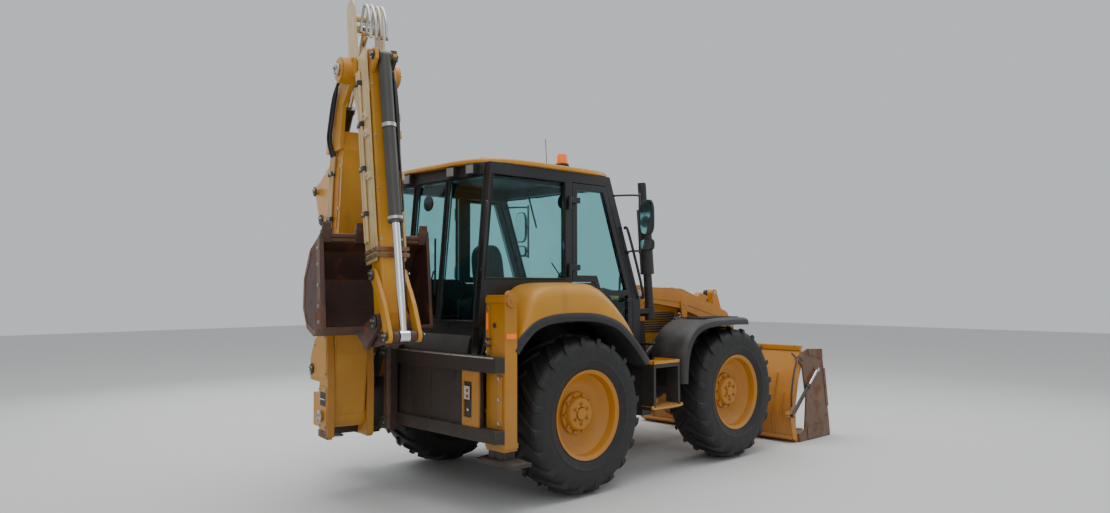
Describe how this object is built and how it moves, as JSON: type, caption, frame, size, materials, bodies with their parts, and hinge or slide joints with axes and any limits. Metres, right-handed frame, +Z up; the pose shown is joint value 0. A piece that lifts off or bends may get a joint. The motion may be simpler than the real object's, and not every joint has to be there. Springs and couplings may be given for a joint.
{
  "type": "backhoe loader",
  "caption": "Equal-wheel backhoe loader with cab, clam bucket on loader arms, sliding stabilizer legs and a side-shift hoe with extending stick; wheels, doors, hood, rams and buckets move.",
  "frame": {"origin": "middle of the whole machine's box on the ground, at its rest pose", "axes": "+X forward, toward the loader bucket; +Y to the machine's left; +Z up"},
  "size_m": [6.1982, 2.6, 4.1108],
  "materials": {
    "body_yellow": "worn yellow paint",
    "loader_orange": "worn orange-yellow paint",
    "rim_yellow": "worn yellow paint",
    "stick_cream": "faded cream paint",
    "frame_black": "dusty black paint",
    "cab_black": "semi-gloss black paint",
    "stack_black": "matt black paint",
    "engine_grey": "rough",
    "cast_dark": "dusty paint over casting",
    "rail_rusty": "worn to rusty steel",
    "bucket_worn": "rusty worn steel",
    "bucket_dark": "dark rusty steel",
    "ram_black": "gloss black paint",
    "ram_grey": "worn grey paint",
    "rod_chrome": "polished",
    "glass_teal": "tinted clear",
    "inside_plastic": "grained",
    "seat_fabric": "woven",
    "lamp_lens": "moulded lens",
    "tyre_rubber": "dusty rubber"
  },
  "bodies": {
    "chassis": {"main_frame": "frame_black", "engine_block": "engine_grey", "axles": "cast_dark", "cab_frame": "cab_black", "cab_roof": "body_yellow", "cab_glass": "glass_teal", "cab_interior": "inside_plastic", "seat_cushions": "seat_fabric", "wheel_guards": "body_yellow", "side_boxes": "frame_black", "exhaust_stack": "stack_black", "rear_rails": "rail_rusty", "leg_housings": "body_yellow", "bumper": "frame_black", "lamps": "lamp_lens", "mirrors": "inside_plastic"},
    "hood": {"hood": "body_yellow", "grille": "cab_black"},
    "door_left": {"door_left": "cab_black", "door_glass_left": "glass_teal"},
    "door_right": {"door_right": "cab_black", "door_glass_right": "glass_teal"},
    "knuckle_front_left": {"knuckle_front_left": "cast_dark"},
    "wheel_front_left": {"rim_front_left": "rim_yellow", "tyre_front_left": "tyre_rubber"},
    "knuckle_front_right": {"knuckle_front_right": "cast_dark"},
    "wheel_front_right": {"rim_front_right": "rim_yellow", "tyre_front_right": "tyre_rubber"},
    "knuckle_rear_left": {"knuckle_rear_left": "cast_dark"},
    "wheel_rear_left": {"rim_rear_left": "rim_yellow", "tyre_rear_left": "tyre_rubber"},
    "knuckle_rear_right": {"knuckle_rear_right": "cast_dark"},
    "wheel_rear_right": {"rim_rear_right": "rim_yellow", "tyre_rear_right": "tyre_rubber"},
    "loader_arms": {"loader_arms": "loader_orange"},
    "lift_barrels": {"lift_barrels": "ram_black"},
    "lift_rods": {"lift_rods": "rod_chrome"},
    "tilt_barrels": {"tilt_barrels": "ram_black"},
    "tilt_rods": {"tilt_rods": "rod_chrome"},
    "loader_bucket": {"loader_bucket": "loader_orange"},
    "bucket_clam": {"bucket_clam": "bucket_worn"},
    "clam_barrels": {"clam_barrels": "ram_black"},
    "clam_rods": {"clam_rods": "rod_chrome"},
    "leg_left": {"leg_left": "rail_rusty"},
    "leg_right": {"leg_right": "rail_rusty"},
    "carriage": {"carriage": "rail_rusty"},
    "kingpost": {"kingpost": "body_yellow"},
    "boom": {"boom": "body_yellow"},
    "boom_barrel": {"boom_barrel": "ram_black"},
    "boom_rod": {"boom_rod": "rod_chrome"},
    "stick": {"stick": "stick_cream"},
    "stick_barrel": {"stick_barrel": "ram_black"},
    "stick_rod": {"stick_rod": "rod_chrome"},
    "stick_slider": {"stick_slider": "body_yellow"},
    "hoe_barrel": {"hoe_barrel": "ram_grey"},
    "hoe_rod": {"hoe_rod": "rod_chrome"},
    "side_links": {"side_links": "body_yellow"},
    "power_link": {"power_link": "bucket_worn"},
    "hoe_bucket": {"hoe_bucket": "bucket_dark"}
  },
  "joints": [
    {"name": "hood_hinge", "type": "hinge", "parent": "chassis", "child": "hood", "pos_m": [0.055, 0, 1.72], "axis": [0, -1, 0], "range_deg": [0, 55]},
    {"name": "door_left_hinge", "type": "hinge", "parent": "chassis", "child": "door_left", "pos_m": [-0.985, 0.834, 1.45], "axis": [0, 0, 1], "range_deg": [0, 80]},
    {"name": "door_right_hinge", "type": "hinge", "parent": "chassis", "child": "door_right", "pos_m": [-0.985, -0.834, 1.45], "axis": [0, 0, -1], "range_deg": [0, 80]},
    {"name": "steer_front_left", "type": "hinge", "parent": "chassis", "child": "knuckle_front_left", "pos_m": [1.135, 0.69, 0.68], "axis": [0, 0, 1], "range_deg": [-25, 25]},
    {"name": "wheel_front_left_spin", "type": "hinge", "parent": "knuckle_front_left", "child": "wheel_front_left", "pos_m": [1.135, 0.9475, 0.68], "axis": [0, 1, 0], "continuous": true},
    {"name": "steer_front_right", "type": "hinge", "parent": "chassis", "child": "knuckle_front_right", "pos_m": [1.135, -0.69, 0.68], "axis": [0, 0, 1], "range_deg": [-25, 25]},
    {"name": "wheel_front_right_spin", "type": "hinge", "parent": "knuckle_front_right", "child": "wheel_front_right", "pos_m": [1.135, -0.9475, 0.68], "axis": [0, 1, 0], "continuous": true},
    {"name": "steer_rear_left", "type": "hinge", "parent": "chassis", "child": "knuckle_rear_left", "pos_m": [-1.065, 0.69, 0.68], "axis": [0, 0, 1], "range_deg": [-25, 25]},
    {"name": "wheel_rear_left_spin", "type": "hinge", "parent": "knuckle_rear_left", "child": "wheel_rear_left", "pos_m": [-1.065, 0.9475, 0.68], "axis": [0, 1, 0], "continuous": true},
    {"name": "steer_rear_right", "type": "hinge", "parent": "chassis", "child": "knuckle_rear_right", "pos_m": [-1.065, -0.69, 0.68], "axis": [0, 0, 1], "range_deg": [-25, 25]},
    {"name": "wheel_rear_right_spin", "type": "hinge", "parent": "knuckle_rear_right", "child": "wheel_rear_right", "pos_m": [-1.065, -0.9475, 0.68], "axis": [0, 1, 0], "continuous": true},
    {"name": "loader_lift", "type": "hinge", "parent": "chassis", "child": "loader_arms", "pos_m": [0.185, 0, 1.7], "axis": [0, -1, 0], "range_deg": [0, 85]},
    {"name": "lift_barrels_swing", "type": "hinge", "parent": "chassis", "child": "lift_barrels", "pos_m": [0.135, 0, 0.9], "axis": [0, -1, 0], "range_deg": [-0.5, 44.3]},
    {"name": "lift_rods_slide", "type": "slide", "parent": "lift_barrels", "child": "lift_rods", "axis": [0.8351, 0, 0.5502], "range_m": [-0.002, 0.60048]},
    {"name": "bucket_tilt", "type": "hinge", "parent": "loader_arms", "child": "loader_bucket", "pos_m": [2.045, 0, 0.27], "axis": [0, 1, 0], "range_deg": [-35, 60]},
    {"name": "tilt_barrels_swing", "type": "hinge", "parent": "loader_arms", "child": "tilt_barrels", "pos_m": [1.555, 0, 1.69], "axis": [0, 1, 0], "range_deg": [-4.4, 2.77]},
    {"name": "tilt_rods_slide", "type": "slide", "parent": "tilt_barrels", "child": "tilt_rods", "axis": [0.4233, 0, -0.906], "range_m": [-0.09974, 0.16955]},
    {"name": "clam_open", "type": "hinge", "parent": "loader_bucket", "child": "bucket_clam", "pos_m": [2.435, 0, 0.95], "axis": [0, -1, 0], "range_deg": [0, 55]},
    {"name": "clam_barrels_swing", "type": "hinge", "parent": "loader_bucket", "child": "clam_barrels", "pos_m": [2.165, 0, 0.33], "axis": [0, -1, 0], "range_deg": [-0.5, 14.56]},
    {"name": "clam_rods_slide", "type": "slide", "parent": "clam_barrels", "child": "clam_rods", "axis": [0.766, 0, 0.6429], "range_m": [-0.002, 0.22377]},
    {"name": "leg_left_slide", "type": "slide", "parent": "chassis", "child": "leg_left", "axis": [0, 0, -1], "range_m": [0, 0.38]},
    {"name": "leg_right_slide", "type": "slide", "parent": "chassis", "child": "leg_right", "axis": [0, 0, -1], "range_m": [0, 0.38]},
    {"name": "carriage_shift", "type": "slide", "parent": "chassis", "child": "carriage", "axis": [0, 1, 0], "range_m": [-1.1, 0]},
    {"name": "hoe_swing", "type": "hinge", "parent": "carriage", "child": "kingpost", "pos_m": [-2.485, 0.55, 0.72], "axis": [0, 0, -1], "range_deg": [0, 165]},
    {"name": "boom_lower", "type": "hinge", "parent": "kingpost", "child": "boom", "pos_m": [-2.51973, 0.35304, 0.68], "axis": [0.9848, -0.1736, 0], "range_deg": [0, 115]},
    {"name": "boom_barrel_swing", "type": "hinge", "parent": "kingpost", "child": "boom_barrel", "pos_m": [-2.47458, 0.60909, 1.06], "axis": [0.9848, -0.1736, 0], "range_deg": [-0.5, 116.11]},
    {"name": "boom_rod_slide", "type": "slide", "parent": "boom_barrel", "child": "boom_rod", "axis": [0.0107, 0.0605, 0.9981], "range_m": [-0.002, 0.77845]},
    {"name": "stick_open", "type": "hinge", "parent": "boom", "child": "stick", "pos_m": [-2.60482, -0.12952, 3.5], "axis": [-0.9848, 0.1736, 0], "range_deg": [0, 100]},
    {"name": "stick_barrel_swing", "type": "hinge", "parent": "boom", "child": "stick_barrel", "pos_m": [-2.44332, 0.78635, 2.62], "axis": [-0.9848, 0.1736, 0], "range_deg": [-2.95, 0.5]},
    {"name": "stick_rod_slide", "type": "slide", "parent": "stick_barrel", "child": "stick_rod", "axis": [-0.0988, -0.5604, 0.8223], "range_m": [-0.58192, 0.002]},
    {"name": "stick_extend", "type": "slide", "parent": "stick", "child": "stick_slider", "axis": [-0.0281, -0.1591, -0.9869], "range_m": [0, 1.1]},
    {"name": "hoe_bucket_open", "type": "hinge", "parent": "stick_slider", "child": "hoe_bucket", "pos_m": [-2.69513, -0.6417, 1.49976], "axis": [-0.9848, 0.1736, 0], "range_deg": [0, 160]},
    {"name": "side_links_swing", "type": "hinge", "parent": "stick_slider", "child": "side_links", "pos_m": [-2.68508, -0.58472, 1.85305], "axis": [-0.9848, 0.1736, 0], "range_deg": [-0.5, 69.76]},
    {"name": "power_link_swing", "type": "hinge", "parent": "side_links", "child": "power_link", "pos_m": [-2.73482, -0.8668, 1.40343], "axis": [-0.9848, 0.1736, 0], "range_deg": [-19, 0.5]},
    {"name": "hoe_barrel_swing", "type": "hinge", "parent": "stick_slider", "child": "hoe_barrel", "pos_m": [-2.66452, -0.46808, 3.56643], "axis": [-0.9848, 0.1736, 0], "range_deg": [-0.5, 11.65]},
    {"name": "hoe_rod_slide", "type": "slide", "parent": "hoe_barrel", "child": "hoe_rod", "axis": [-0.0319, -0.1812, -0.9829], "range_m": [-0.47476, 0.002]}
  ],
  "couplings": [
    {"joint": "steer_front_right", "follows": "steer_front_left", "ratio": 1},
    {"joint": "steer_rear_right", "follows": "steer_rear_left", "ratio": 1},
    {"joint": "lift_barrels_swing", "follows": "loader_lift", "ratio": 0.51525},
    {"joint": "lift_rods_slide", "follows": "loader_lift", "m_per_rad": 0.40341},
    {"joint": "tilt_barrels_swing", "follows": "bucket_tilt", "ratio": -0.065},
    {"joint": "tilt_rods_slide", "follows": "bucket_tilt", "m_per_rad": 0.16},
    {"joint": "clam_barrels_swing", "follows": "clam_open", "ratio": 0.25561},
    {"joint": "clam_rods_slide", "follows": "clam_open", "m_per_rad": 0.23103},
    {"joint": "boom_barrel_swing", "follows": "boom_lower", "ratio": 1.0053},
    {"joint": "boom_rod_slide", "follows": "boom_lower", "m_per_rad": 0.38685},
    {"joint": "stick_barrel_swing", "follows": "stick_open", "ratio": -0.024517},
    {"joint": "stick_rod_slide", "follows": "stick_open", "m_per_rad": -0.33227},
    {"joint": "side_links_swing", "follows": "hoe_bucket_open", "ratio": 0.43286},
    {"joint": "power_link_swing", "follows": "hoe_bucket_open", "ratio": -0.11561},
    {"joint": "hoe_barrel_swing", "follows": "hoe_bucket_open", "ratio": 0.069701},
    {"joint": "hoe_rod_slide", "follows": "hoe_bucket_open", "m_per_rad": -0.16929}
  ]
}
